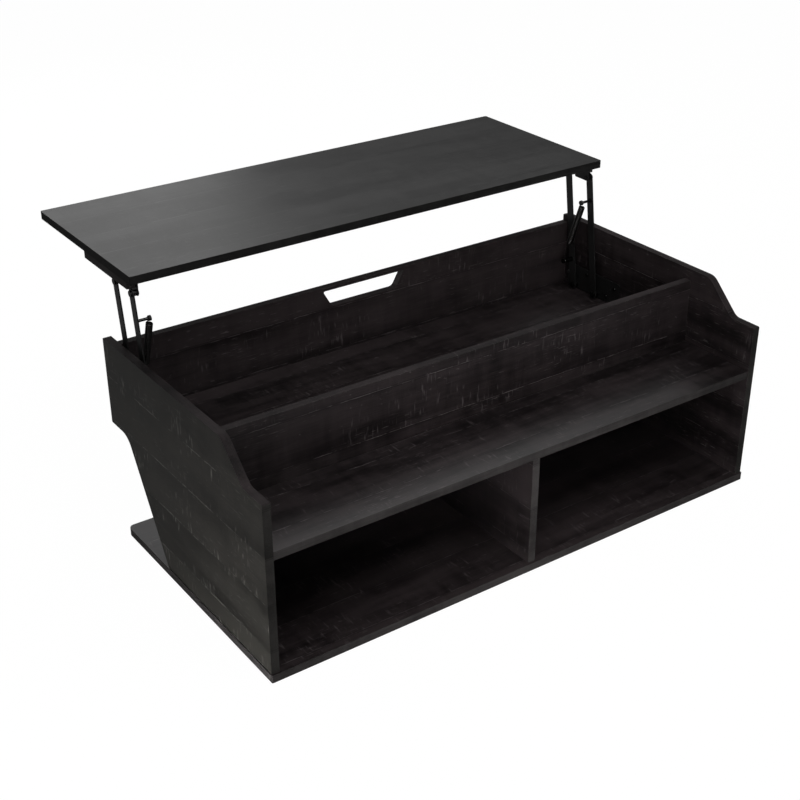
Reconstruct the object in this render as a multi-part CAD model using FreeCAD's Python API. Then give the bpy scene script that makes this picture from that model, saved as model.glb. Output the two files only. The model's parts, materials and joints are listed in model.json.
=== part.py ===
import FreeCAD, Part
import math
import os

# Lift top coffee table: a flat-pack cabinet of laminated boards whose top rises and swings
# to the rear on two steel parallelogram linkages, one at each end.
# Millimetres.  Origin: centre of the base footprint, on the floor.  +X along the length,
# +Y to the rear, where the person sits, and +Z up.  The top is modelled raised.

Vector = FreeCAD.Vector

# ---------------------------------------------------------------- driving dimensions
# Boards
board = 17.0                    # thickness of every board
pad_height = 2.0                # floor pads under the base
table_length = 1200.0
base_depth = 587.0
base_corner_radius = 12.0       # rear corners of the base
side_inset = 1.5                # the base stands proud of the side panels by this much

# Places along Y, measured back from the front edge of the base
side_front = 4.0
shelf_front = 6.0
slope_foot = 68.0               # where the side panel's low front edge starts to climb
slope_head = 140.0              # where it reaches the high rear edge
divider_front = 191.0
lower_back_front = 384.0
side_rear = 612.0               # the storage box overhangs the base at the rear
side_foot_rear = 404.0          # rear end of the side panel where it meets the base
side_step_rear = 541.0          # top of the slanted rear edge, under the overhang

# Heights above the floor
side_low_height = 373.0
side_high_height = 441.5
shelf_top = 272.0
divider_top = 417.0
back_panel_top = 426.0
raised_height = 605.0           # top surface, lifted

slope_foot_radius = 25.0
slope_head_radius = 30.0
step_radius = 40.0
small_radius = 3.0

# Hand hole in the back panel: a trapezoid, wide side up
hand_hole_top_width = 210.0
hand_hole_bottom_width = 166.0
hand_hole_low = 380.5
hand_hole_high = 418.5
hand_hole_radius = 14.0

# Lifting top
top_length = 1160.0
top_front = 494.0               # front edge when raised
top_depth = 422.0
cleat_length = 190.0            # a strip of board, square in section, under each end of the top
cleat_front_gap = 24.0          # from the top's front edge to the cleat
cleat_side_gap = 2.5

# Linkage
arm_lean = 8.0                  # degrees past upright, to the rear, when raised
arm_spacing = 71.0
arm_width = 19.0
arm_thickness = 3.0
arm_inner_x = 567.5             # inboard face of the arms
front_lower_pivot = 478.5       # along Y, from the front edge of the base
lower_pivot_height = 284.0
plate = 2.5                     # thickness of the steel brackets
pin_radius = 4.0
running_clearance = 0.05
side_clearance = 0.3
pin_head_radius = 6.5
pin_head_thickness = 3.5
spacer_radius = 7.0

# Lift spring
spring_x = 543.5
spring_radius = 7.2
spring_wire_radius = 1.25
spring_bore_radius = 4.7
spring_eye_radius = 4.4         # centre line of the hook's eye
spring_coil_length = 104.0
upper_hook_length = 12.0        # from the upper eye's centre to the coil
stud_radius = 3.0
upper_stud_reach = 225.0        # along the front arm, from its lower pivot
lower_stud_reach = 64.0         # along the rear arm, from its lower pivot
stud_head_radius = 5.5
stud_head_thickness = 2.5

# Fasteners
screw_head_radius = 4.5
screw_head_thickness = 2.4
screw_shank_radius = 2.0
cam_radius = 7.5
cam_depth = 12.0
cam_bolt_radius = 3.0
cam_bolt_reach = 34.0           # from the side panel's face to the cam's centre
cam_bolt_anchor = 11.0          # length in the side panel
dowel_radius = 4.0
dowel_length = 30.0
confirmat_radius = 3.5
confirmat_length = 50.0
confirmat_head_radius = 5.0
confirmat_head_depth = 4.0
pad_radius = 14.0
bumper_radius = 5.0
bumper_height = 1.0

# ---------------------------------------------------------------- worked-out values
front_edge = -base_depth / 2
base_top = pad_height + board
side_outer_x = table_length / 2 - side_inset
side_inner_x = side_outer_x - board
shelf_bottom = shelf_top - board
back_panel_front = side_rear - board
arm_outer_x = arm_inner_x + arm_thickness
arm_angle = math.radians(90 - arm_lean)
top_underside = raised_height - board
cleat_bottom = top_underside - board
upper_pivot_height = cleat_bottom - arm_width / 2 - side_clearance
arm_length = (upper_pivot_height - lower_pivot_height) / math.sin(arm_angle)
rear_lower_pivot = front_lower_pivot + arm_spacing


def from_front(distance):
    """Y coordinate of a place given by its distance behind the front edge of the base."""
    return front_edge + distance


def along_arm(lower_pivot, reach):
    """Point (y, z) on a raised arm's centre line, reach from its lower pivot."""
    y = from_front(lower_pivot) + reach * math.cos(arm_angle)
    z = lower_pivot_height + reach * math.sin(arm_angle)
    return y, z


# ---------------------------------------------------------------- shape helpers
def block(x0, x1, y0, y1, z0, z1):
    return Part.makeBox(x1 - x0, y1 - y0, z1 - z0, Vector(x0, y0, z0))


def rod_x(radius, x0, x1, y, z):
    """Cylinder along X between x0 and x1."""
    return Part.makeCylinder(radius, x1 - x0, Vector(x0, y, z), Vector(1, 0, 0))


def rod_y(radius, y0, y1, x, z):
    return Part.makeCylinder(radius, y1 - y0, Vector(x, y0, z), Vector(0, 1, 0))


def rod_z(radius, z0, z1, x, y):
    return Part.makeCylinder(radius, z1 - z0, Vector(x, y, z0), Vector(0, 0, 1))


def mirrored(shape):
    """The same shape at the other end of the table."""
    return shape.mirror(Vector(0, 0, 0), Vector(1, 0, 0))


def both_ends(shape):
    """(left, right) copies of a shape made for the right end."""
    return mirrored(shape), shape


def rounded_face(corners, place):
    """Face with straight sides and tangent arcs.  corners: (u, v, radius); place: (u, v) to point."""
    count = len(corners)
    starts = []
    ends = []
    middles = []
    for i in range(count):
        u, v, radius = corners[i]
        corner = Vector(u, v, 0)
        before = Vector(*corners[i - 1][:2], 0) - corner
        after = Vector(*corners[(i + 1) % count][:2], 0) - corner
        before.normalize()
        after.normalize()
        half = before.getAngle(after) / 2
        setback = radius / math.tan(half)
        bisector = before + after
        bisector.normalize()
        starts.append(corner + before * setback)
        ends.append(corner + after * setback)
        middles.append(corner + bisector * (radius / math.sin(half) - radius))
    edges = []
    for i in range(count):
        following = (i + 1) % count
        if corners[i][2] > 0:
            arc = Part.Arc(place(*starts[i][:2]), place(*middles[i][:2]), place(*ends[i][:2]))
            edges.append(arc.toShape())
        edges.append(Part.LineSegment(place(*ends[i][:2]), place(*starts[following][:2])).toShape())
    return Part.Face(Part.Wire(edges))


def plate_yz(corners, x0, x1):
    """Plate between x0 and x1 with an outline of (y, z, radius) corners."""
    face = rounded_face(corners, lambda u, v: Vector(x0, u, v))
    return face.extrude(Vector(x1 - x0, 0, 0))


def bar_yz(start, end, half_width, x0, x1):
    """Flat bar with round ends, centred on the (y, z) points start and end."""
    along = Vector(end[0] - start[0], end[1] - start[1], 0)
    length = along.Length
    along.normalize()
    across = Vector(-along.y, along.x, 0)
    origin = Vector(start[0], start[1], 0)

    def place(u, v):
        point = origin + along * u + across * v
        return Vector(x0, point.x, point.y)

    corner = half_width * 0.9999
    corners = [(-half_width, -half_width, corner), (length + half_width, -half_width, corner),
               (length + half_width, half_width, corner), (-half_width, half_width, corner)]
    return rounded_face(corners, place).extrude(Vector(x1 - x0, 0, 0))


# ---------------------------------------------------------------- boards
def make_base():
    half = table_length / 2
    rear = front_edge + base_depth
    corners = [(-half, front_edge, small_radius), (half, front_edge, small_radius),
               (half, rear, base_corner_radius), (-half, rear, base_corner_radius)]
    face = rounded_face(corners, lambda u, v: Vector(u, v, pad_height))
    return face.extrude(Vector(0, 0, board))


def make_side_panel():
    """Right-hand side: low at the front, high over the storage box, cut away below it at the rear."""
    corners = [(from_front(side_front), base_top, 0),
               (from_front(side_front), side_low_height, small_radius),
               (from_front(slope_foot), side_low_height, slope_foot_radius),
               (from_front(slope_head), side_high_height, slope_head_radius),
               (from_front(side_rear), side_high_height, small_radius),
               (from_front(side_rear), shelf_bottom, small_radius),
               (from_front(side_step_rear), shelf_bottom, step_radius),
               (from_front(side_foot_rear), base_top, 0)]
    return plate_yz(corners, side_inner_x, side_outer_x)


def make_back_panel():
    y0 = from_front(back_panel_front)
    panel = block(-side_inner_x, side_inner_x, y0, y0 + board, shelf_bottom, back_panel_top)
    wide = hand_hole_top_width / 2
    narrow = hand_hole_bottom_width / 2
    corners = [(-wide, hand_hole_high, small_radius), (wide, hand_hole_high, small_radius),
               (narrow, hand_hole_low, hand_hole_radius), (-narrow, hand_hole_low, hand_hole_radius)]
    hole = rounded_face(corners, lambda u, v: Vector(u, y0 - 1, v)).extrude(Vector(0, board + 2, 0))
    return panel.cut(hole)


inner = side_inner_x
left_side, right_side = both_ends(make_side_panel())
boards = {
    "base_board": make_base(),
    "left_side_panel": left_side,
    "right_side_panel": right_side,
    "shelf_board": block(-inner, inner, from_front(shelf_front), from_front(back_panel_front),
                         shelf_bottom, shelf_top),
    "storage_front_board": block(-inner, inner, from_front(divider_front),
                                 from_front(divider_front + board), shelf_top, divider_top),
    "back_panel": make_back_panel(),
    "lower_back_panel": block(-inner, inner, from_front(lower_back_front),
                              from_front(lower_back_front + board), base_top, shelf_bottom),
    "centre_partition": block(-board / 2, board / 2, from_front(shelf_front),
                              from_front(lower_back_front), base_top, shelf_bottom),
}


def drill(node, hole):
    boards[node] = boards[node].cut(hole)


# ---------------------------------------------------------------- cabinet fasteners
cams = []
cam_bolts = []
dowels = []
confirmats = []


def add_cam_joint(node, y, z, opening):
    """Cam lock at both ends of a cross board.  opening is the face (y or z, sign) its cam shows on."""
    for end in (-1, 1):
        side = "right_side_panel" if end > 0 else "left_side_panel"
        x = end * (side_inner_x - cam_bolt_reach)
        axis, sign = opening
        if axis == "z":
            face = shelf_bottom if sign < 0 else shelf_top
            low = face if sign < 0 else face - cam_depth
            cam = rod_z(cam_radius, low, low + cam_depth, x, y)
        else:
            low = y + board / 2 - cam_depth if sign > 0 else y - board / 2
            cam = rod_y(cam_radius, low, low + cam_depth, x, z)
        far_end = end * (side_inner_x + cam_bolt_anchor)
        bolt = rod_x(cam_bolt_radius, min(x, far_end), max(x, far_end), y, z).cut(cam)
        drill(node, cam)
        drill(node, bolt)
        drill(side, bolt)
        cams.append(cam)
        cam_bolts.append(bolt)


def add_dowel(dowel, nodes):
    for node in nodes:
        drill(node, dowel)
    dowels.append(dowel)


def add_confirmat(x, y, node, low, through):
    """Upright screw whose countersunk head is flush with a board's underside at height low."""
    shank = rod_z(confirmat_radius, low + confirmat_head_depth, low + confirmat_length, x, y)
    head = Part.makeCone(confirmat_head_radius, confirmat_radius, confirmat_head_depth,
                         Vector(x, y, low), Vector(0, 0, 1))
    screw = shank.fuse(head).removeSplitter()
    drill(through, screw)
    drill(node, screw)
    confirmats.append(screw)


half_board = board / 2
shelf_middle = shelf_bottom + half_board
divider_middle = from_front(divider_front) + half_board
back_middle = from_front(back_panel_front) + half_board
lower_back_middle = from_front(lower_back_front) + half_board

for distance in (60.0, 300.0, 540.0):
    add_cam_joint("shelf_board", from_front(distance), shelf_middle, ("z", -1))
for height in (300.0, 380.0):
    add_cam_joint("storage_front_board", divider_middle, height, ("y", 1))
    add_cam_joint("back_panel", back_middle, height + 5.0, ("y", 1))
for height in (70.0, 200.0):
    add_cam_joint("lower_back_panel", lower_back_middle, height, ("y", 1))

for x in (-400.0, 0.0, 400.0):
    y0 = from_front(back_panel_front)
    add_dowel(rod_y(dowel_radius, y0 - dowel_length + 8, y0 + 8, x, shelf_middle),
              ("shelf_board", "back_panel"))
for x in (-440.0, 440.0):
    add_dowel(rod_z(dowel_radius, base_top - 8, base_top + dowel_length - 8, x, lower_back_middle),
              ("base_board", "lower_back_panel"))
for distance in (90.0, 300.0):
    add_dowel(rod_z(dowel_radius, shelf_bottom - dowel_length + 8, shelf_bottom + 8,
                    0, from_front(distance)), ("shelf_board", "centre_partition"))

side_middle_x = side_inner_x + half_board
for distance in (40.0, 200.0, 360.0):
    add_confirmat(-side_middle_x, from_front(distance), "left_side_panel", pad_height, "base_board")
    add_confirmat(side_middle_x, from_front(distance), "right_side_panel", pad_height, "base_board")
for distance in (50.0, 200.0, 340.0):
    add_confirmat(0, from_front(distance), "centre_partition", pad_height, "base_board")
for x in (-450.0, -150.0, 150.0, 450.0):
    add_confirmat(x, divider_middle, "storage_front_board", shelf_bottom, "shelf_board")


# ---------------------------------------------------------------- lifting top
top_rear = top_front + top_depth
top_corners = [(-top_length / 2, from_front(top_front), small_radius),
               (top_length / 2, from_front(top_front), small_radius),
               (top_length / 2, from_front(top_rear), small_radius),
               (-top_length / 2, from_front(top_rear), small_radius)]
tabletop = rounded_face(top_corners, lambda u, v: Vector(u, v, top_underside)).extrude(Vector(0, 0, board))

cleat_front = top_front + cleat_front_gap
cleat_outer_x = top_length / 2 - cleat_side_gap
cleat = block(cleat_outer_x - board, cleat_outer_x, from_front(cleat_front),
              from_front(cleat_front + cleat_length), cleat_bottom, top_underside)


# ---------------------------------------------------------------- steel brackets
pivots = {"front": front_lower_pivot, "rear": rear_lower_pivot}
stop_reach = 30.0
stop_radius = 4.0
stop_y, stop_z = along_arm(rear_lower_pivot, stop_reach)
stop_offset = arm_width / 2 + stop_radius + side_clearance
stop_y += stop_offset * math.sin(arm_angle)
stop_z -= stop_offset * math.cos(arm_angle)

bracket_front = 404.0
bracket_rear = 580.0
bracket_low = shelf_top + 2.0
bracket_high = 330.0
bracket_nose = 20.0             # the lower front corner is cut off at 45 degrees
bracket_corner = 6.0
bracket_corners = [(from_front(bracket_front), bracket_low + bracket_nose, bracket_corner),
                   (from_front(bracket_front + bracket_nose), bracket_low, bracket_corner),
                   (from_front(bracket_rear), bracket_low, bracket_corner),
                   (from_front(bracket_rear), bracket_high, bracket_corner),
                   (from_front(bracket_front), bracket_high, bracket_corner)]
bracket_face_x = side_inner_x - plate
base_bracket = plate_yz(bracket_corners, bracket_face_x, side_inner_x)

pin_outer = rod_x(stop_radius, arm_inner_x - 1.0, side_inner_x, stop_y, stop_z)
stop_collar = rod_x(stop_radius + 2.0, arm_outer_x + 2.0, bracket_face_x, stop_y, stop_z)
arm_stop = pin_outer.fuse(stop_collar).removeSplitter()
base_bracket = base_bracket.cut(pin_outer)

base_pins = []
base_spacers = []
for distance in pivots.values():
    y = from_front(distance)
    shaft = rod_x(pin_radius, arm_inner_x - side_clearance, side_inner_x, y, lower_pivot_height)
    head_x = arm_inner_x - side_clearance
    head = rod_x(pin_head_radius, head_x - pin_head_thickness, head_x, y, lower_pivot_height)
    spacer = rod_x(spacer_radius, arm_outer_x + side_clearance, bracket_face_x, y, lower_pivot_height)
    base_bracket = base_bracket.cut(shaft)
    base_spacers.append(spacer.cut(shaft))
    base_pins.append(shaft.fuse(head).removeSplitter())

bracket_screws = []
for distance, height in ((420.0, 314.0), (446.0, 288.0), (514.0, 318.0), (568.0, 286.0)):
    y = from_front(distance)
    shank = rod_x(screw_shank_radius, bracket_face_x, bracket_face_x + 14.0, y, height)
    head = rod_x(screw_head_radius, bracket_face_x - screw_head_thickness, bracket_face_x, y, height)
    head = head.makeFillet(screw_head_thickness * 0.6, [head.Edges[2]])
    base_bracket = base_bracket.cut(shank)
    drill("right_side_panel", shank)
    drill("left_side_panel", mirrored(shank))
    bracket_screws.append(shank.fuse(head).removeSplitter())

# Top bracket: an angle with one leg under the top; the other hangs inboard of the cleat and
# carries the upper pivots on two ears
flange_outer_x = cleat_outer_x - board - side_clearance
flange_x = flange_outer_x - plate
flange_inner_x = flange_outer_x - 26.0
ear_low = upper_pivot_height - 6.0
arch_height = cleat_bottom - 3.0
front_pivot_y = from_front(front_lower_pivot) + arm_length * math.cos(arm_angle)
rear_pivot_y = front_pivot_y + arm_spacing
front_ear_end = front_pivot_y + 37.0
rear_ear_start = rear_pivot_y - 9.0
top_bracket_front = front_pivot_y - 7.0
top_bracket_rear = rear_pivot_y + 9.0
top_bracket = block(flange_inner_x, flange_outer_x, top_bracket_front, top_bracket_rear,
                    top_underside - plate, top_underside)
hanging_corners = [(top_bracket_front, ear_low, 4.0),
                   (front_ear_end, ear_low, 4.0),
                   (front_ear_end, arch_height, 3.0),
                   (rear_ear_start, arch_height, 3.0),
                   (rear_ear_start, ear_low, 4.0),
                   (top_bracket_rear, ear_low, 4.0),
                   (top_bracket_rear, top_underside, 0),
                   (top_bracket_front, top_underside, 0)]
hanging_leg = plate_yz(hanging_corners, flange_x, flange_outer_x)
top_bracket = top_bracket.fuse(hanging_leg).removeSplitter()

top_pins = []
for distance in pivots.values():
    y, z = along_arm(distance, arm_length)
    head_x = arm_outer_x + side_clearance
    shaft = rod_x(pin_radius, flange_x, head_x, y, z)
    head = rod_x(pin_head_radius, head_x, head_x + 2.7, y, z)
    shoulder = rod_x(pin_head_radius - 0.5, flange_outer_x, arm_inner_x - side_clearance, y, z)
    riveted_end = rod_x(pin_radius + 1.5, flange_x - 1.5, flange_x, y, z)
    top_bracket = top_bracket.cut(shaft)
    top_pins.append(shaft.fuse([head, shoulder, riveted_end]).removeSplitter())

top_bracket_screws = []
for y in (top_bracket_front + 12.0, (top_bracket_front + top_bracket_rear) / 2, top_bracket_rear - 12.0):
    x = flange_inner_x + 9.0
    low = top_underside - plate
    shank = rod_z(screw_shank_radius, low, low + 14.0, x, y)
    head = rod_z(screw_head_radius, low - screw_head_thickness, low, x, y)
    top_bracket = top_bracket.cut(shank)
    tabletop = tabletop.cut(shank).cut(mirrored(shank))
    top_bracket_screws.append(shank.fuse(head).removeSplitter())

cleat_screws = []
for distance in (120.0, 184.0):
    x = cleat_outer_x - half_board
    y = from_front(top_front + distance)
    shank = rod_z(screw_shank_radius, cleat_bottom, top_underside + 10.0, x, y)
    head = Part.makeCone(screw_head_radius, screw_shank_radius, screw_head_thickness,
                         Vector(x, y, cleat_bottom), Vector(0, 0, 1))
    screw = shank.fuse(head).removeSplitter()
    cleat = cleat.cut(screw)
    tabletop = tabletop.cut(screw).cut(mirrored(screw))
    cleat_screws.append(screw)


# ---------------------------------------------------------------- arms, studs and springs
def make_arm(distance, stud_reach):
    """Flat bar with a running hole at each end and a tight hole for its spring stud."""
    low = along_arm(distance, 0)
    high = along_arm(distance, arm_length)
    stud = along_arm(distance, stud_reach)
    arm = bar_yz(low, high, arm_width / 2, arm_inner_x, arm_outer_x)
    for y, z in (low, high):
        arm = arm.cut(rod_x(pin_radius + running_clearance, arm_inner_x - 1, arm_outer_x + 1, y, z))
    return arm.cut(rod_x(stud_radius, arm_inner_x - 1, arm_outer_x + 1, *stud))


upper_eye = along_arm(front_lower_pivot, upper_stud_reach)
lower_eye = along_arm(rear_lower_pivot, lower_stud_reach)
collar_x = spring_x + spring_wire_radius + side_clearance
upper_stud_end = collar_x + 1.0
lower_stud_end = spring_x - spring_wire_radius - side_clearance

upper_stud = rod_x(stud_radius, upper_stud_end, arm_outer_x, *upper_eye)
upper_collar = rod_x(stud_head_radius, arm_inner_x - 2.0, arm_inner_x, *upper_eye)
upper_stud = upper_stud.fuse(upper_collar).removeSplitter()

lower_stud = rod_x(stud_radius, lower_stud_end, arm_outer_x, *lower_eye)
lower_collar = rod_x(stud_head_radius, collar_x, arm_inner_x, *lower_eye)
lower_head = rod_x(stud_head_radius, lower_stud_end - stud_head_thickness, lower_stud_end, *lower_eye)
lower_stud = lower_stud.fuse([lower_collar, lower_head]).removeSplitter()

spring_span = math.hypot(upper_eye[0] - lower_eye[0], upper_eye[1] - lower_eye[1])
spring_up = Vector(0, upper_eye[0] - lower_eye[0], upper_eye[1] - lower_eye[1])
spring_up.normalize()
lower_point = Vector(spring_x, *lower_eye)
upper_point = Vector(spring_x, *upper_eye)
coil_top = spring_span - upper_hook_length
coil_bottom = coil_top - spring_coil_length
end_turn = 2 * spring_wire_radius


def along_spring(distance):
    return lower_point + spring_up * distance


def spring_rod(radius, start, end):
    return Part.makeCylinder(radius, end - start, along_spring(start), spring_up)


def spring_eye(centre):
    return Part.makeTorus(spring_eye_radius, spring_wire_radius, centre, Vector(1, 0, 0))


coil = spring_rod(spring_radius, coil_bottom, coil_top)
coil = coil.cut(spring_rod(spring_bore_radius, coil_bottom + end_turn, coil_top))
lower_tail = spring_rod(spring_wire_radius, spring_eye_radius, coil_bottom + 1)
spring_coil = coil.fuse([lower_tail, spring_eye(lower_point)]).removeSplitter()

hook_turn = spring_rod(spring_radius, coil_top + side_clearance, coil_top + side_clearance + end_turn)
upper_tail = spring_rod(spring_wire_radius, coil_top + end_turn, spring_span - spring_eye_radius)
spring_hook = hook_turn.fuse([upper_tail, spring_eye(upper_point)]).removeSplitter()

bush_radius = spring_eye_radius - spring_wire_radius
bush = rod_x(bush_radius, spring_x - spring_wire_radius, spring_x + spring_wire_radius + 0.5, *upper_eye)
bush_flange_x = spring_x - spring_wire_radius - 0.1
bush_flange = rod_x(stud_head_radius, bush_flange_x - 3.0, bush_flange_x, *upper_eye)
spring_bush = bush.fuse([bush_flange, rod_x(bush_radius, bush_flange_x, spring_x, *upper_eye)])
spring_bush = spring_bush.removeSplitter()


# ---------------------------------------------------------------- pads and bumpers
floor_pads = []
for x in (-550.0, 0.0, 550.0):
    for y in (-262.0, 0.0, 262.0):
        floor_pads.append(rod_z(pad_radius, 0, pad_height, x, y))

bumpers = []
for x in (-500.0, -180.0, 180.0, 500.0):
    y = from_front(back_panel_front + half_board)
    bumpers.append(rod_z(bumper_radius, back_panel_top, back_panel_top + bumper_height, x, y))


# ---------------------------------------------------------------- the named pieces
def group(shapes):
    return Part.makeCompound(shapes)


def at_both_ends(shapes):
    return group([piece for shape in shapes for piece in both_ends(shape)])


pieces = dict(boards)
pieces["tabletop_board"] = tabletop
paired = {
    "top_cleat": cleat,
    "base_bracket": base_bracket,
    "top_bracket": top_bracket,
    "front_arm": make_arm(front_lower_pivot, upper_stud_reach),
    "rear_arm": make_arm(rear_lower_pivot, lower_stud_reach),
    "upper_spring_stud": upper_stud,
    "lower_spring_stud": lower_stud,
    "spring_coil": spring_coil,
    "spring_upper_hook": spring_hook,
    "spring_bush": spring_bush,
}
for name, shape in paired.items():
    pieces["left_" + name], pieces["right_" + name] = both_ends(shape)
pieces["base_pivot_pins"] = at_both_ends(base_pins)
pieces["base_pivot_spacers"] = at_both_ends(base_spacers)
pieces["top_pivot_pins"] = at_both_ends(top_pins)
pieces["arm_stop_pins"] = at_both_ends([arm_stop])
pieces["bracket_screws"] = at_both_ends(bracket_screws)
pieces["top_bracket_screws"] = at_both_ends(top_bracket_screws)
pieces["cleat_screws"] = at_both_ends(cleat_screws)
pieces["cam_lock_discs"] = group(cams)
pieces["cam_lock_bolts"] = group(cam_bolts)
pieces["wood_dowels"] = group(dowels)
pieces["confirmat_screws"] = group(confirmats)
pieces["floor_pads"] = group(floor_pads)
pieces["closing_bumpers"] = group(bumpers)

os.makedirs("parts", exist_ok=True)
for name, shape in pieces.items():
    shape.exportStep("parts/" + name + ".step")

# The closing turn of the arms, and how the springs turn and stretch with it
closed_underside = back_panel_top + bumper_height + side_clearance
lift_height = top_underside - closed_underside
closed_angle = math.pi - math.asin((arm_length * math.sin(arm_angle) - lift_height) / arm_length)
arm_turn = closed_angle - arm_angle


def spring_state(angle):
    """Span and direction of the spring with the arms at an angle from +Y."""
    dy = -arm_spacing + (upper_stud_reach - lower_stud_reach) * math.cos(angle)
    dz = (upper_stud_reach - lower_stud_reach) * math.sin(angle)
    return math.hypot(dy, dz), math.atan2(dz, dy)


closed_span, closed_direction = spring_state(closed_angle)
open_direction = spring_state(arm_angle)[1]
spring_turn = closed_direction - open_direction - arm_turn
print("arm length %.2f, turn to close %.3f deg" % (arm_length, math.degrees(arm_turn)))
print("spring span %.2f open, %.2f closed" % (spring_span, closed_span))
print("spring turn on the rear arm %.3f deg" % math.degrees(spring_turn))
print("front pivot y %.3f, rear pivot y %.3f" % (from_front(front_lower_pivot), from_front(rear_lower_pivot)))
print("upper front pivot", along_arm(front_lower_pivot, arm_length))
print("lower spring eye", lower_eye, "spring direction", tuple(spring_up))
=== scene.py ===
import json
import math

import bpy
from mathutils import Matrix, Vector


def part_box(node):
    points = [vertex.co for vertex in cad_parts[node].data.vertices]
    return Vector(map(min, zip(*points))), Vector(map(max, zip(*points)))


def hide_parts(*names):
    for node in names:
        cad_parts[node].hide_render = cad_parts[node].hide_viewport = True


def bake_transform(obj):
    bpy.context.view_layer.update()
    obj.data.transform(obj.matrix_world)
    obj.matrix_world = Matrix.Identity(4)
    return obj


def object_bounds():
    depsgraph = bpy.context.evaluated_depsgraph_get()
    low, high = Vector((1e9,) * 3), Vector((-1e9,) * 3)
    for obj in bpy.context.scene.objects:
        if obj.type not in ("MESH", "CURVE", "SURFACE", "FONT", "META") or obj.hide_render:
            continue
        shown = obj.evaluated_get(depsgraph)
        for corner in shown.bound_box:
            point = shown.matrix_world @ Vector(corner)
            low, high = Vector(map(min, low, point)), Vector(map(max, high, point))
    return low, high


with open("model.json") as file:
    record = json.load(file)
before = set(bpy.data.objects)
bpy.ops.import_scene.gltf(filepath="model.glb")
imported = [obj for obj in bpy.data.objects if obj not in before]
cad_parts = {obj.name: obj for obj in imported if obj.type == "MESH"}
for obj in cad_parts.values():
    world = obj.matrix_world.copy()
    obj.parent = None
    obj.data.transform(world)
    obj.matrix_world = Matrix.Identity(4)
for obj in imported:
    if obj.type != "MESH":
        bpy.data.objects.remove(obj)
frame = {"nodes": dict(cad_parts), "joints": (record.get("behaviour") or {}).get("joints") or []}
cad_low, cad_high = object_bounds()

# Lift top coffee table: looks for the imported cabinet, its lifting top and its two spring linkages.
# Metres.  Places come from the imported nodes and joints.

# ------------------------------------------------------------ driving values
camera_position = Vector((-1.506, -1.985, 1.595))
camera_azimuth = -35.50             # degrees, 0 looks along +Y
camera_elevation = 28.41
camera_roll = 0.09
camera_lens = 61.76                 # mm on a 36 mm sensor
camera_shift = (-0.0138, 0.0054)

board_edge = 0.0009                 # rounding of the boards' edges
steel_edge = 0.0004

spring_wire = 0.00125               # radius
spring_radius = 0.00595             # centre line of the wire
spring_eye = 0.0044                 # centre line of the hook's eye
spring_coil_length = 0.1064
upper_hook_length = 0.0076
side_hook_offset = 0.0040           # the upper eye stands behind the coil's axis
turn_points = 14                    # points in one turn of the coil
eye_start = 25                      # degrees from the coil's side of the eye to the wire's start
eye_sweep = 330                     # degrees of the full circle that a hook's eye makes

plank_width = 0.098                 # of the printed planks
planar_limit = 0.3                  # degrees between faces that are merged before rounding
sharp_limit = 50                    # degrees at which an edge is rounded
face_limits = (0.45, 0.60)          # share of the normal along the thickness: band, printed face
up_edge_shade_limits = (0.3, 0.8)          # share of the normal along Z: band, painted shade as a darker print

floor_size = 40.0
floor_grey = 0.30
floor_glow = 1.06                   # what the camera sees of the floor, a white sweep
floor_glow_share = 0.93
room_light = 0.15

joints = {joint["name"]: joint for joint in frame["joints"]}
nodes = frame["nodes"]


# ------------------------------------------------------------ node tree helpers
def add(tree, kind, inputs=None, **settings):
    """A new node, its inputs set to values or linked to sockets."""
    node = tree.nodes.new(kind)
    for key, value in settings.items():
        setattr(node, key, value)
    for key, value in (inputs or {}).items():
        if isinstance(value, bpy.types.NodeSocket):
            tree.links.new(value, node.inputs[key])
        else:
            node.inputs[key].default_value = value
    return node


def calc(tree, operation, *values):
    return add(tree, "ShaderNodeMath", dict(enumerate(values)), operation=operation).outputs[0]


def fade(tree, value, low, high):
    """0 below low, 1 above high, and smooth between."""
    inputs = {"Value": value, "From Min": low, "From Max": high}
    node = add(tree, "ShaderNodeMapRange", inputs, interpolation_type="SMOOTHSTEP")
    return node.outputs["Result"]


def remap(tree, value, low, high, to_low, to_high):
    inputs = {"Value": value, "From Min": low, "From Max": high}
    inputs.update({"To Min": to_low, "To Max": to_high})
    return add(tree, "ShaderNodeMapRange", inputs).outputs["Result"]


def stretch(tree, where, scale):
    return add(tree, "ShaderNodeVectorMath", {0: where, 1: scale}, operation="MULTIPLY").outputs[0]


def noise(tree, where, scale, detail=3.0, roughness=0.5):
    """Noise with its own scale along each axis, per metre."""
    inputs = {"Vector": stretch(tree, where, scale), "Scale": 1.0}
    inputs.update({"Detail": detail, "Roughness": roughness})
    return add(tree, "ShaderNodeTexNoise", inputs).outputs[0]


def mix(tree, factor, a, b):
    return add(tree, "ShaderNodeMix", {0: factor, 6: a, 7: b}, data_type="RGBA").outputs[2]


def opaque(colour, gain=1.0):
    return (*(gain * c for c in colour), 1.0)


def new_material(name):
    material = bpy.data.materials.new(name)
    material.use_nodes = True
    return material, material.node_tree, material.node_tree.nodes["Principled BSDF"]


def relief(tree, shader, height, strength, distance=0.0002):
    """Fine bumps on the whole material."""
    inputs = {"Strength": strength, "Distance": distance, "Height": height}
    bump = add(tree, "ShaderNodeBump", inputs)
    tree.links.new(bump.outputs[0], shader.inputs["Normal"])


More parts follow.
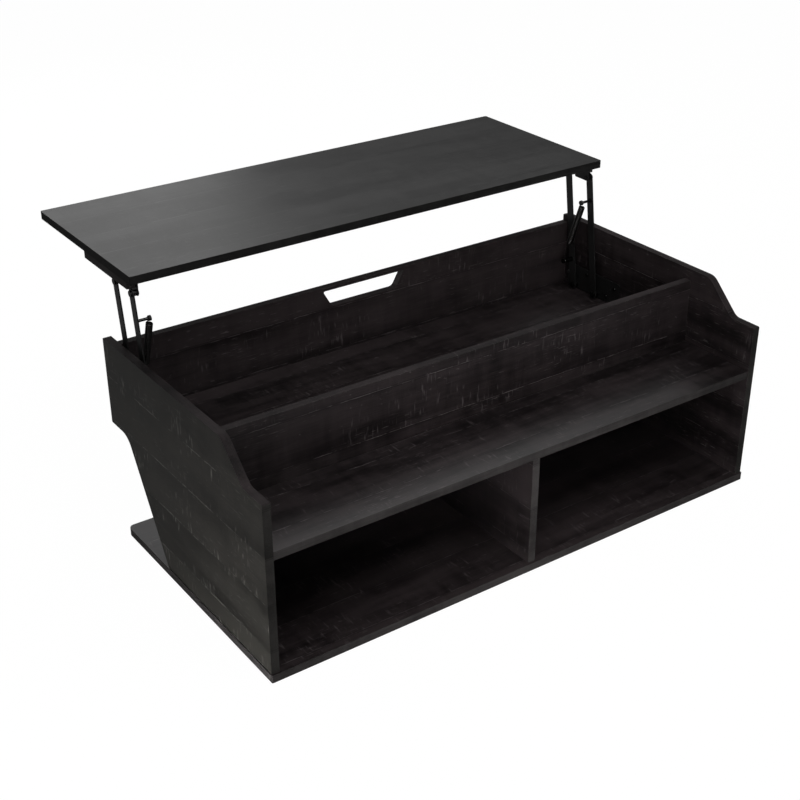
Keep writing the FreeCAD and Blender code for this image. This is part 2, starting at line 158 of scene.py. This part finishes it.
# ------------------------------------------------------------ laminate
def make_print_group():
    """The printed planks: x runs along the grain and y across it, in metres."""
    group = bpy.data.node_groups.new("distressed_print", "ShaderNodeTree")
    group.interface.new_socket("Grain", in_out="INPUT", socket_type="NodeSocketVector")
    for name in ("Shade", "Dashes", "Saw marks", "Seams", "Height"):
        group.interface.new_socket(name, in_out="OUTPUT", socket_type="NodeSocketFloat")
    where = add(group, "NodeGroupInput").outputs[0]
    axes = add(group, "ShaderNodeSeparateXYZ", {0: where}).outputs

    wander = calc(group, "MULTIPLY", noise(group, where, (6, 3, 3), 2), 0.05)
    ruled = calc(group, "MULTIPLY_ADD", axes["Y"], 1 / plank_width, wander)
    index = calc(group, "FLOOR", ruled)
    place = calc(group, "SUBTRACT", ruled, index)
    seam = calc(group, "MINIMUM", place, calc(group, "SUBTRACT", 1.0, place))
    plank = add(group, "ShaderNodeTexWhiteNoise", {"W": index}, noise_dimensions="1D")
    plank = plank.outputs["Value"]
    shift = add(group, "ShaderNodeCombineXYZ", {0: calc(group, "MULTIPLY", plank, 7.3)}).outputs[0]
    where = add(group, "ShaderNodeVectorMath", {0: where, 1: shift}).outputs[0]

    clouds = noise(group, where, (2.2, 11, 11), 4, 0.6)
    streaks = noise(group, where, (4, 60, 60), 4, 0.62)
    fine = noise(group, where, (16, 460, 460), 4, 0.65)
    sawn = noise(group, where, (34, 7, 7), 3, 0.6)
    shade = calc(group, "MULTIPLY_ADD", clouds, 1.1, calc(group, "MULTIPLY", streaks, 0.45))
    shade = calc(group, "MULTIPLY_ADD", sawn, 0.5, shade)
    shade = calc(group, "MULTIPLY_ADD", fine, 0.45, shade)
    shade = calc(group, "MULTIPLY_ADD", plank, 0.22, shade)
    shade = fade(group, shade, 1.02, 1.66)

    dash_patches = fade(group, noise(group, where, (5, 16, 16), 2), 0.46, 0.64)
    dashes = fade(group, noise(group, where, (34, 400, 400), 2), 0.60, 0.74)
    chips = fade(group, noise(group, where, (62, 135, 135), 2.5, 0.6), 0.66, 0.74)
    chips = calc(group, "MULTIPLY", chips, fade(group, clouds, 0.48, 0.6))
    dashes = calc(group, "MULTIPLY_ADD", dashes, dash_patches, calc(group, "MULTIPLY", chips, 0.8))
    saw_patches = fade(group, noise(group, where, (7, 12, 12.5), 2), 0.50, 0.62)
    saw_marks = fade(group, noise(group, where, (190, 34, 34), 1.5), 0.58, 0.76)
    saw_marks = calc(group, "MULTIPLY", saw_marks, saw_patches)
    on_seam = calc(group, "SUBTRACT", 1.0, fade(group, seam, 0.006, 0.016))
    broken = fade(group, noise(group, where, (22, 8, 8), 3, 0.7), 0.48, 0.6)
    seams = calc(group, "MULTIPLY", on_seam, broken)
    beside_seam = calc(group, "ABSOLUTE", calc(group, "SUBTRACT", seam, 0.02))
    gap = calc(group, "SUBTRACT", 1.0, fade(group, beside_seam, 0.004, 0.012))
    shade = calc(group, "MULTIPLY", shade, calc(group, "MULTIPLY_ADD", gap, -0.7, 1.0))

    height = calc(group, "MULTIPLY_ADD", calc(group, "ADD", dashes, saw_marks), 0.6, fine)
    outputs = {"Shade": shade, "Dashes": dashes, "Saw marks": saw_marks}
    outputs.update({"Seams": seams, "Height": height})
    add(group, "NodeGroupOutput", outputs)
    return group


print_group = make_print_group()

# Each tone's dark and light print, marks and edge band, how strong its marks are, and its gloss.
tones = {
    "charcoal": {
        "dark": (0.0046, 0.0035, 0.0037),
        "light": (0.0288, 0.0226, 0.0235),
        "mark": (0.080, 0.069, 0.071),
        "band": (0.0420, 0.0384, 0.0380),
        "dashes": 0.85, "saw": 0.6, "seams": 0.9, "sheen": 0.35,
    },
    "olive": {
        "dark": (0.0080, 0.0073, 0.0060),
        "light": (0.0300, 0.0280, 0.0245),
        "mark": (0.125, 0.12, 0.11),
        "band": (0.0235, 0.0222, 0.0210),
        "dashes": 0.45, "saw": 0.9, "seams": 1.0, "sheen": 0.17,
    },
    "top": {
        "dark": (0.0045, 0.0045, 0.0045),
        "light": (0.0150, 0.0148, 0.0146),
        "mark": (0.050, 0.050, 0.050),
        "band": (0.0120, 0.0117, 0.0115),
        "dashes": 0.6, "saw": 0.15, "seams": 0.7, "sheen": 0.27,
    },
}
band_sheen = 0.10


def printed_face(tree, pattern, tone):
    """The colour of a printed face in one of the tones."""
    marks = calc(tree, "MULTIPLY", pattern["Dashes"], tone["dashes"])
    marks = calc(tree, "MULTIPLY_ADD", pattern["Saw marks"], tone["saw"], marks)
    marks = calc(tree, "MULTIPLY_ADD", pattern["Seams"], tone["seams"], marks)
    marks = add(tree, "ShaderNodeClamp", {0: marks}).outputs[0]
    face = mix(tree, pattern["Shade"], opaque(tone["dark"]), opaque(tone["light"]))
    return mix(tree, marks, face, opaque(tone["mark"]))


def laminate(name, grain, thickness, tone, seed):
    """Wood-grain laminate on one board.

    The print lies on the faces across the thickness axis and edge band on the edges; the edges
    that face up get a darker charcoal print with weak marks instead, a painted shade.  An olive
    board is olive only on the faces that look away from the table, and charcoal inside.
    """
    material, tree, shader = new_material(name)
    place = add(tree, "ShaderNodeTexCoord")
    axes = add(tree, "ShaderNodeSeparateXYZ", {0: place.outputs["Object"]}).outputs
    normal = add(tree, "ShaderNodeSeparateXYZ", {0: place.outputs["Normal"]}).outputs
    across = "XYZ".replace(grain, "").replace(thickness, "")
    order = {0: axes[grain], 1: axes[across], 2: axes[thickness]}
    where = add(tree, "ShaderNodeCombineXYZ", order).outputs[0]
    offset = (seed, 0.7 * seed, 0.3 * seed)
    where = add(tree, "ShaderNodeVectorMath", {0: where, 1: offset}).outputs[0]
    pattern = add(tree, "ShaderNodeGroup", {0: where}, node_tree=print_group).outputs

    chosen = tones[tone]
    face = printed_face(tree, pattern, chosen)
    if tone == "olive":
        outward = fade(tree, calc(tree, "MULTIPLY", axes[thickness], normal[thickness]), -0.1, 0.1)
        face = mix(tree, outward, printed_face(tree, pattern, tones["charcoal"]), face)
    band = mix(tree, pattern["Shade"], opaque(chosen["band"], 0.6), opaque(chosen["band"], 1.5))
    # Painted shade: edges that face up are darkened to a charcoal print with weak marks.
    up_edge_painted_shade = fade(tree, normal["Z"], *up_edge_shade_limits)
    faint = dict(tones["charcoal"], dashes=0.3, saw=0.3, seams=0.3)
    band = mix(tree, up_edge_painted_shade, band, printed_face(tree, pattern, faint))
    on_face = fade(tree, calc(tree, "ABSOLUTE", normal[thickness]), *face_limits)
    tree.links.new(mix(tree, on_face, band, face), shader.inputs["Base Color"])
    rough = remap(tree, pattern["Shade"], 0, 1, 0.32, 0.40)
    rough = calc(tree, "MULTIPLY_ADD", calc(tree, "SUBTRACT", 1.0, on_face), 0.24, rough)
    tree.links.new(rough, shader.inputs["Roughness"])
    sheen = calc(tree, "MULTIPLY_ADD", on_face, chosen["sheen"] - band_sheen, band_sheen)
    tree.links.new(sheen, shader.inputs["Specular IOR Level"])
    relief(tree, shader, pattern["Height"], 0.3)
    return material


def pale_patched_edge(name, colour, paler_colour, scale):
    """Thin rounded edges, paler in random patches; on the black steel this is rubbed paint."""
    material, tree, shader = new_material(name)
    place = add(tree, "ShaderNodeTexCoord").outputs["Object"]
    pale_patch_mask = fade(tree, noise(tree, place, (scale, scale, scale), 4, 0.7), 0.42, 0.66)
    tree.links.new(mix(tree, pale_patch_mask, opaque(colour), opaque(paler_colour)), shader.inputs["Base Color"])
    tree.links.new(remap(tree, pale_patch_mask, 0, 1, 0.5, 0.65), shader.inputs["Roughness"])
    shader.inputs["Specular IOR Level"].default_value = 0.25
    return material


# ------------------------------------------------------------ metal, rubber and plastic
def painted(name, colour, roughness, grain_scale, bump, specular=0.5):
    """Powder coat, nylon, rubber or plastic, with a fine orange-peel or moulded grain."""
    material, tree, shader = new_material(name)
    place = add(tree, "ShaderNodeTexCoord").outputs["Object"]
    fine = noise(tree, place, (grain_scale,) * 3, 2, 0.5)
    dirt = noise(tree, place, (40, 40, 40), 4, 0.6)
    shade = mix(tree, dirt, opaque(colour), opaque(colour, 1.6))
    tree.links.new(shade, shader.inputs["Base Color"])
    rough = remap(tree, dirt, 0.3, 0.7, roughness - 0.06, roughness + 0.08)
    tree.links.new(rough, shader.inputs["Roughness"])
    shader.inputs["Specular IOR Level"].default_value = specular
    relief(tree, shader, fine, bump)
    return material


def metal(name, colour, roughness, scratch_scale):
    """Plated or oxidised steel with fine scratches and faint stains."""
    material, tree, shader = new_material(name)
    place = add(tree, "ShaderNodeTexCoord").outputs["Object"]
    stains = noise(tree, place, (90, 90, 90), 3, 0.6)
    scratches = noise(tree, place, (scratch_scale, 0.2 * scratch_scale, scratch_scale), 3, 0.6)
    shade = mix(tree, stains, opaque(colour), opaque(colour, 0.6))
    tree.links.new(shade, shader.inputs["Base Color"])
    rough = remap(tree, scratches, 0.3, 0.7, roughness - 0.08, roughness + 0.12)
    tree.links.new(rough, shader.inputs["Roughness"])
    shader.inputs["Metallic"].default_value = 1.0
    relief(tree, shader, scratches, 0.2, 0.0001)
    return material


def dowel_wood(name):
    material, tree, shader = new_material(name)
    place = add(tree, "ShaderNodeTexCoord").outputs["Object"]
    grain = noise(tree, place, (40, 900, 900), 3, 0.6)
    colour = mix(tree, grain, (0.50, 0.33, 0.19, 1), (0.72, 0.53, 0.34, 1))
    tree.links.new(colour, shader.inputs["Base Color"])
    shader.inputs["Roughness"].default_value = 0.6
    relief(tree, shader, grain, 0.4)
    return material


black_steel = painted("black_steel_paint", (0.006, 0.006, 0.006), 0.40, 1400, 0.25)
steel_wear = pale_patched_edge("black_steel_edge", (0.010, 0.010, 0.010), (0.05, 0.05, 0.05), 90)
zinc = metal("zinc_plate", (0.60, 0.60, 0.58), 0.32, 1200)
dark_zinc = metal("black_zinc_plate", (0.045, 0.045, 0.045), 0.30, 1200)
stud_steel = metal("stud_steel", (0.05, 0.05, 0.049), 0.18, 1300)
spring_wire_steel = metal("spring_wire_oxide", (0.055, 0.053, 0.052), 0.34, 1500)
nylon = painted("black_nylon_moulded", (0.010, 0.010, 0.010), 0.5, 900, 0.2)
rubber = painted("bumper_rubber_soft", (0.012, 0.012, 0.012), 0.75, 1100, 0.4, 0.3)
pad = painted("pad_plastic_moulded", (0.014, 0.014, 0.014), 0.55, 700, 0.2)
beech = dowel_wood("beech_dowel_wood")
# The boards' rounded edges: paler in random patches.
board_edge_pale_patches = pale_patched_edge("laminate_edge_pale_patches", (0.024, 0.023, 0.022), (0.19, 0.18, 0.175), 60)


# ------------------------------------------------------------ CAD nodes: finish and rounded edges
def finish(name, material, edge_material=None, width=0.0):
    """A CAD node's material, with its edges rounded and paler in patches where a width is given."""
    node = nodes[name]
    node.data.materials.clear()
    node.data.materials.append(material)
    if not edge_material:
        return
    node.data.materials.append(edge_material)
    weld = node.modifiers.new("weld", "WELD")
    weld.merge_threshold = 0.00001
    planar = node.modifiers.new("planar", "DECIMATE")
    planar.decimate_type = "DISSOLVE"
    planar.angle_limit = math.radians(planar_limit)
    bevel = node.modifiers.new("bevel", "BEVEL")
    bevel.width = width
    bevel.segments = 2
    bevel.limit_method = "ANGLE"
    bevel.angle_limit = math.radians(sharp_limit)
    bevel.material = 1
    node.modifiers.new("normals", "WEIGHTED_NORMAL")


boards = {
    "base_board": ("X", "Z", "charcoal"),
    "tabletop_board": ("X", "Z", "top"),
    "shelf_board": ("X", "Z", "charcoal"),
    "back_panel": ("X", "Y", "charcoal"),
    "storage_front_board": ("X", "Y", "charcoal"),
    "lower_back_panel": ("X", "Y", "charcoal"),
    "centre_partition": ("Y", "X", "charcoal"),
    "left_side_panel": ("Y", "X", "olive"),
    "right_side_panel": ("Y", "X", "olive"),
    "left_top_cleat": ("Y", "Z", "charcoal"),
    "right_top_cleat": ("Y", "Z", "charcoal"),
}
for index, (board, (grain, thickness, tone)) in enumerate(boards.items()):
    material = laminate(board + "_laminate", grain, thickness, tone, 1.37 * (index + 1))
    finish(board, material, board_edge_pale_patches, board_edge)

for side in ("left", "right"):
    for part in ("base_bracket", "top_bracket", "front_arm", "rear_arm"):
        finish(side + "_" + part, black_steel, steel_wear, steel_edge)
    for part in ("upper_spring_stud", "lower_spring_stud"):
        finish(side + "_" + part, stud_steel)
    finish(side + "_spring_bush", nylon)
finish("arm_stop_pins", black_steel, steel_wear, steel_edge)
for name in ("base_pivot_pins", "base_pivot_spacers", "top_pivot_pins",
             "bracket_screws", "top_bracket_screws"):
    finish(name, dark_zinc)
for name in ("cleat_screws", "cam_lock_discs", "cam_lock_bolts", "confirmat_screws"):
    finish(name, zinc)
finish("closing_bumpers", rubber)
finish("floor_pads", pad)
finish("wood_dowels", beech)


# ------------------------------------------------------------ springs
def tube(name, path, radius, sides=8):
    """A closed round wire along a path, its section carried along without twist."""
    count = len(path)
    tangents = []
    for i in range(count):
        tangents.append((path[min(i + 1, count - 1)] - path[max(i - 1, 0)]).normalized())
    across = tangents[0].orthogonal().normalized()
    vertices = []
    for point, tangent in zip(path, tangents):
        across = (across - tangent * across.dot(tangent)).normalized()
        other = tangent.cross(across)
        for k in range(sides):
            angle = math.tau * k / sides
            vertices.append(point + (across * math.cos(angle) + other * math.sin(angle)) * radius)
    faces = []
    for i in range(count - 1):
        for k in range(sides):
            j = (k + 1) % sides
            here, beyond = i * sides, (i + 1) * sides
            faces.append((here + k, here + j, beyond + j, beyond + k))
    faces.append(tuple(reversed(range(sides))))
    faces.append(tuple((count - 1) * sides + k for k in range(sides)))
    mesh = bpy.data.meshes.new(name)
    mesh.from_pydata([tuple(v) for v in vertices], [], faces)
    mesh.polygons.foreach_set("use_smooth", [len(p.vertices) == 4 for p in mesh.polygons])
    mesh.update()
    piece = bpy.data.objects.new(name, mesh)
    bpy.context.scene.collection.objects.link(piece)
    return piece


def eye_loop(centre, up, start_angle, sweep, points=26):
    """Points of a hook's eye, in the plane across X; angles run from up towards up x X."""
    side = up.cross(Vector((1, 0, 0)))
    loop = []
    for i in range(points):
        angle = start_angle + sweep * i / (points - 1)
        loop.append(centre + (up * math.cos(angle) + side * math.sin(angle)) * spring_eye)
    return loop


def spring(side):
    """Close-wound extension spring, from the rear arm's stud to the front arm's."""
    lower = Vector(joints[side + "_spring_swing"]["pos_m"])
    up = Vector(joints[side + "_spring_stretch"]["axis"]).normalized()
    eye_low, eye_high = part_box(side + "_spring_bush")
    upper_z = (eye_low.z + eye_high.z) / 2
    span = (upper_z - lower.z) / up.z
    upper = lower + up * span
    coil_top = span - upper_hook_length
    coil_bottom = coil_top - spring_coil_length
    side_axis = up.cross(Vector((1, 0, 0)))
    x_axis = Vector((1, 0, 0))
    lean = side_axis * (-side_hook_offset if side_axis.y > 0 else side_hook_offset)

    turns = round(spring_coil_length / (2 * spring_wire)) - 1
    steps = turns * turn_points
    first = coil_bottom + spring_wire
    rise = spring_coil_length - 2 * spring_wire
    coil = []
    for i in range(steps + 1):
        angle = math.tau * i / turn_points
        ring = (side_axis * math.cos(angle) + x_axis * math.sin(angle)) * spring_radius
        coil.append(lower + up * (first + rise * i / steps) + lean * (i / steps) + ring)

    def bridge(a, b):
        """A short eased run between the coil and an eye."""
        return [a.lerp(b, t * t * (3 - 2 * t)) for t in (1 / 6, 1 / 3, 1 / 2, 2 / 3, 5 / 6)]

    low_eye = eye_loop(lower, up, math.radians(360 - eye_start), -math.radians(eye_sweep))
    high_eye = eye_loop(upper, -up, -math.radians(eye_start), -math.radians(eye_sweep))
    path = low_eye + bridge(low_eye[-1], coil[0]) + coil
    path += bridge(coil[-1], high_eye[0]) + high_eye
    piece = tube(side + "_extension_spring", path, spring_wire)
    piece.data.materials.append(spring_wire_steel)
    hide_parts(side + "_spring_coil", side + "_spring_upper_hook")
    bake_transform(piece)


for side in ("left", "right"):
    spring(side)


# ------------------------------------------------------------ floor, light and camera
def plane(name, size, centre):
    mesh = bpy.data.meshes.new(name)
    half = size / 2
    corners = [(-half, -half, 0), (half, -half, 0), (half, half, 0), (-half, half, 0)]
    mesh.from_pydata([tuple(Vector(c) + centre) for c in corners], [], [(0, 1, 2, 3)])
    piece = bpy.data.objects.new(name, mesh)
    bpy.context.scene.collection.objects.link(piece)
    return piece


def floor_material():
    """Pale floor, bright enough to read as a white sweep."""
    material, tree, shader = new_material("studio_floor")
    shader.inputs["Base Color"].default_value = opaque((floor_grey,) * 3)
    shader.inputs["Roughness"].default_value = 0.9
    shader.inputs["Specular IOR Level"].default_value = 0.0
    glow = add(tree, "ShaderNodeEmission", {"Color": (1, 1, 1, 1), "Strength": floor_glow})
    seen = add(tree, "ShaderNodeLightPath").outputs["Is Camera Ray"]
    share = calc(tree, "MULTIPLY", seen, floor_glow_share)
    blend = add(tree, "ShaderNodeMixShader", {0: share, 1: shader.outputs[0], 2: glow.outputs[0]})
    tree.links.new(blend.outputs[0], tree.nodes["Material Output"].inputs["Surface"])
    return material


def softbox(name, azimuth, elevation, distance, size, power, target, spread=180):
    """An area light aimed at a point; azimuth 0 is along +Y, behind the table, and 90 along +X."""
    light = bpy.data.lights.new(name, "AREA")
    light.shape = "RECTANGLE"
    light.size, light.size_y = size
    light.energy = power
    light.spread = math.radians(spread)
    lamp = bpy.data.objects.new(name, light)
    a, e = math.radians(azimuth), math.radians(elevation)
    direction = Vector((math.sin(a) * math.cos(e), math.cos(a) * math.cos(e), math.sin(e)))
    lamp.location = target + direction * distance
    lamp.rotation_mode = "QUATERNION"
    lamp.rotation_quaternion = direction.to_track_quat("Z", "Y")
    bpy.context.scene.collection.objects.link(lamp)


floor = plane("studio_floor", floor_size, Vector((0, 0, cad_low.z)))
floor.data.materials.append(floor_material())

world = bpy.data.worlds.new("studio")
bpy.context.scene.world = world
world.use_nodes = True
tree = world.node_tree
tree.nodes.clear()
surround = add(tree, "ShaderNodeBackground", {"Color": (1, 1, 1, 1), "Strength": room_light})
backdrop = add(tree, "ShaderNodeBackground", {"Color": (1, 1, 1, 1), "Strength": 1.0})
seen = add(tree, "ShaderNodeLightPath").outputs["Is Camera Ray"]
blend = add(tree, "ShaderNodeMixShader", {0: seen, 1: surround.outputs[0], 2: backdrop.outputs[0]})
add(tree, "ShaderNodeOutputWorld", {"Surface": blend.outputs[0]})

centre = (cad_low + cad_high) / 2
softbox("rear_softbox", 1, 24, 3.6, (2.6, 2.3), 23, centre)
softbox("high_rear_softbox", 40, 48, 3.6, (2.3, 1.7), 26, centre)
softbox("overhead_softbox", 184, 60, 3.4, (2.3, 1.9), 54, centre)
softbox("front_fill", 234, 26, 4.2, (1.8, 1.3), 17, centre)
softbox("shelf_fill", 212, 17, 3.2, (0.4, 0.3), 0.75, Vector((0.16, 0.0, 0.27)), 24)
softbox("left_fill", 268, 4, 1.3, (0.8, 0.3), 4.6, Vector((-0.6, -0.47, -0.08)), 52)

azimuth, elevation = math.radians(camera_azimuth), math.radians(camera_elevation)
level = math.cos(elevation)
back = Vector((math.sin(azimuth) * level, -math.cos(azimuth) * level, math.sin(elevation)))
camera_data = bpy.data.cameras.new("camera")
camera_data.lens = camera_lens
camera_data.shift_x, camera_data.shift_y = camera_shift
camera = bpy.data.objects.new("camera", camera_data)
camera.rotation_mode = "QUATERNION"
roll = Matrix.Rotation(math.radians(camera_roll), 4, "Z").to_quaternion()
camera.rotation_quaternion = back.to_track_quat("Z", "Y") @ roll
camera.location = camera_position
bpy.context.scene.collection.objects.link(camera)
bpy.context.scene.camera = camera
bpy.context.scene.view_settings.view_transform = "Standard"
